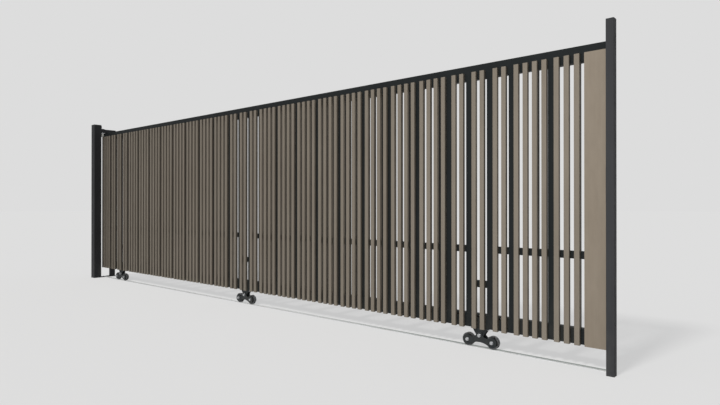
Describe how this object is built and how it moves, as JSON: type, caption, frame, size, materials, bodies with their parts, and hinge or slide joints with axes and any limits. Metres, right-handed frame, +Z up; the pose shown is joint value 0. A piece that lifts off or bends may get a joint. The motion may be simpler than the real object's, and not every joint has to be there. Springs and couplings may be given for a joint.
{
  "type": "sliding garden gate",
  "caption": "Sliding garden gate: upright slats on a steel frame, rocking wheel bogies on a ground track, a portal with guide rollers and a catch post.",
  "frame": {"origin": "on the ground under the middle bogie's pivot with the gate shut, in the middle plane of leaf and track", "axes": "+X along the leaf towards the catch post, -Y towards the slatted face, +Z up"},
  "size_m": [6.3955, 0.278, 1.965],
  "materials": {
    "frame_paint": "powder coat, fine texture",
    "slat_paint": "powder coat, satin",
    "panel_paint": "powder coat, satin",
    "post_paint": "powder coat, fine texture",
    "bogie_paint": "powder coat over zinc",
    "zinc": "bright zinc plated",
    "track_steel": "galvanised",
    "wheel_steel": "turned and zinc plated",
    "bearing_steel": "ground",
    "bush_bronze": "sintered",
    "nylon": "natural nylon",
    "buffer_rubber": "moulded"
  },
  "bodies": {
    "ground_frame": {"portal_base_plate": "post_paint", "portal_front_post": "post_paint", "portal_rear_post": "post_paint", "post_caps": "post_paint", "portal_top_bar": "post_paint", "top_bar_angle": "post_paint", "catch_post": "post_paint", "catch_post_foot": "post_paint", "receiver": "post_paint", "top_bar_bolts": "zinc", "roller_spindles": "zinc", "receiver_screws": "zinc", "track": "track_steel", "receiver_buffer": "buffer_rubber"},
    "leaf": {"top_rail": "frame_paint", "bottom_rail": "frame_paint", "rail_end_caps": "frame_paint", "stiles": "frame_paint", "crossbars": "frame_paint", "slat_ribs": "frame_paint", "slat_stiffeners": "frame_paint", "left_end_slats": "slat_paint", "left_section_slats": "slat_paint", "middle_slats": "slat_paint", "right_section_slats": "slat_paint", "right_end_slats": "slat_paint", "slat_caps": "slat_paint", "closing_panel": "panel_paint", "bracket_bolts": "zinc", "left_bogie_bracket": "bogie_paint", "left_pivot_bolt": "zinc", "middle_bogie_bracket": "bogie_paint", "middle_pivot_bolt": "zinc", "right_bogie_bracket": "bogie_paint", "right_pivot_bolt": "zinc"},
    "guide_front_left": {"guide_roller_front_left": "nylon"},
    "guide_front_right": {"guide_roller_front_right": "nylon"},
    "guide_rear_left": {"guide_roller_rear_left": "nylon"},
    "guide_rear_right": {"guide_roller_rear_right": "nylon"},
    "left_rocker": {"left_rocker_plates": "bogie_paint", "left_pivot_bushes": "bush_bronze", "left_axle_bolts": "zinc"},
    "left_left_wheel": {"left_bogie_left_wheel": "wheel_steel", "left_bogie_left_bearings": "bearing_steel"},
    "left_right_wheel": {"left_bogie_right_wheel": "wheel_steel", "left_bogie_right_bearings": "bearing_steel"},
    "middle_rocker": {"middle_rocker_plates": "bogie_paint", "middle_pivot_bushes": "bush_bronze", "middle_axle_bolts": "zinc"},
    "middle_left_wheel": {"middle_bogie_left_wheel": "wheel_steel", "middle_bogie_left_bearings": "bearing_steel"},
    "middle_right_wheel": {"middle_bogie_right_wheel": "wheel_steel", "middle_bogie_right_bearings": "bearing_steel"},
    "right_rocker": {"right_rocker_plates": "bogie_paint", "right_pivot_bushes": "bush_bronze", "right_axle_bolts": "zinc"},
    "right_left_wheel": {"right_bogie_left_wheel": "wheel_steel", "right_bogie_left_bearings": "bearing_steel"},
    "right_right_wheel": {"right_bogie_right_wheel": "wheel_steel", "right_bogie_right_bearings": "bearing_steel"}
  },
  "joints": [
    {"name": "leaf_slide", "type": "slide", "parent": "ground_frame", "child": "leaf", "axis": [-1, 0, 0], "range_m": [0, 6.2]},
    {"name": "left_rocker_tilt", "type": "hinge", "parent": "leaf", "child": "left_rocker", "pos_m": [-2.5002, 0, 0.082], "axis": [0, 1, 0], "range_deg": [-0.4, 0.4]},
    {"name": "left_left_wheel_roll", "type": "hinge", "parent": "left_rocker", "child": "left_left_wheel", "pos_m": [-2.5892, 0, 0.046], "axis": [0, 1, 0], "continuous": true},
    {"name": "left_right_wheel_roll", "type": "hinge", "parent": "left_rocker", "child": "left_right_wheel", "pos_m": [-2.4112, 0, 0.046], "axis": [0, 1, 0], "continuous": true},
    {"name": "middle_rocker_tilt", "type": "hinge", "parent": "leaf", "child": "middle_rocker", "pos_m": [0, 0, 0.082], "axis": [0, 1, 0], "range_deg": [-0.4, 0.4]},
    {"name": "middle_left_wheel_roll", "type": "hinge", "parent": "middle_rocker", "child": "middle_left_wheel", "pos_m": [-0.089, 0, 0.046], "axis": [0, 1, 0], "continuous": true},
    {"name": "middle_right_wheel_roll", "type": "hinge", "parent": "middle_rocker", "child": "middle_right_wheel", "pos_m": [0.089, 0, 0.046], "axis": [0, 1, 0], "continuous": true},
    {"name": "right_rocker_tilt", "type": "hinge", "parent": "leaf", "child": "right_rocker", "pos_m": [2.5002, 0, 0.082], "axis": [0, 1, 0], "range_deg": [-0.4, 0.4]},
    {"name": "right_left_wheel_roll", "type": "hinge", "parent": "right_rocker", "child": "right_left_wheel", "pos_m": [2.4112, 0, 0.046], "axis": [0, 1, 0], "continuous": true},
    {"name": "right_right_wheel_roll", "type": "hinge", "parent": "right_rocker", "child": "right_right_wheel", "pos_m": [2.5892, 0, 0.046], "axis": [0, 1, 0], "continuous": true},
    {"name": "front_left_guide_roll", "type": "hinge", "parent": "ground_frame", "child": "guide_front_left", "pos_m": [-3.0073, -0.0405, 1.837], "axis": [0, 0, 1], "continuous": true},
    {"name": "front_right_guide_roll", "type": "hinge", "parent": "ground_frame", "child": "guide_front_right", "pos_m": [-2.9633, -0.0405, 1.837], "axis": [0, 0, 1], "continuous": true},
    {"name": "rear_left_guide_roll", "type": "hinge", "parent": "ground_frame", "child": "guide_rear_left", "pos_m": [-3.0073, 0.0405, 1.837], "axis": [0, 0, 1], "continuous": true},
    {"name": "rear_right_guide_roll", "type": "hinge", "parent": "ground_frame", "child": "guide_rear_right", "pos_m": [-2.9633, 0.0405, 1.837], "axis": [0, 0, 1], "continuous": true}
  ],
  "couplings": [
    {"joint": "left_left_wheel_roll", "follows": "leaf_slide", "rad_per_m": -26.667},
    {"joint": "left_right_wheel_roll", "follows": "leaf_slide", "rad_per_m": -26.667},
    {"joint": "middle_left_wheel_roll", "follows": "leaf_slide", "rad_per_m": -26.667},
    {"joint": "middle_right_wheel_roll", "follows": "leaf_slide", "rad_per_m": -26.667},
    {"joint": "right_left_wheel_roll", "follows": "leaf_slide", "rad_per_m": -26.667},
    {"joint": "right_right_wheel_roll", "follows": "leaf_slide", "rad_per_m": -26.667},
    {"joint": "front_left_guide_roll", "follows": "leaf_slide", "rad_per_m": 57.143},
    {"joint": "front_right_guide_roll", "follows": "leaf_slide", "rad_per_m": 57.143},
    {"joint": "rear_left_guide_roll", "follows": "leaf_slide", "rad_per_m": -57.143},
    {"joint": "rear_right_guide_roll", "follows": "leaf_slide", "rad_per_m": -57.143}
  ]
}
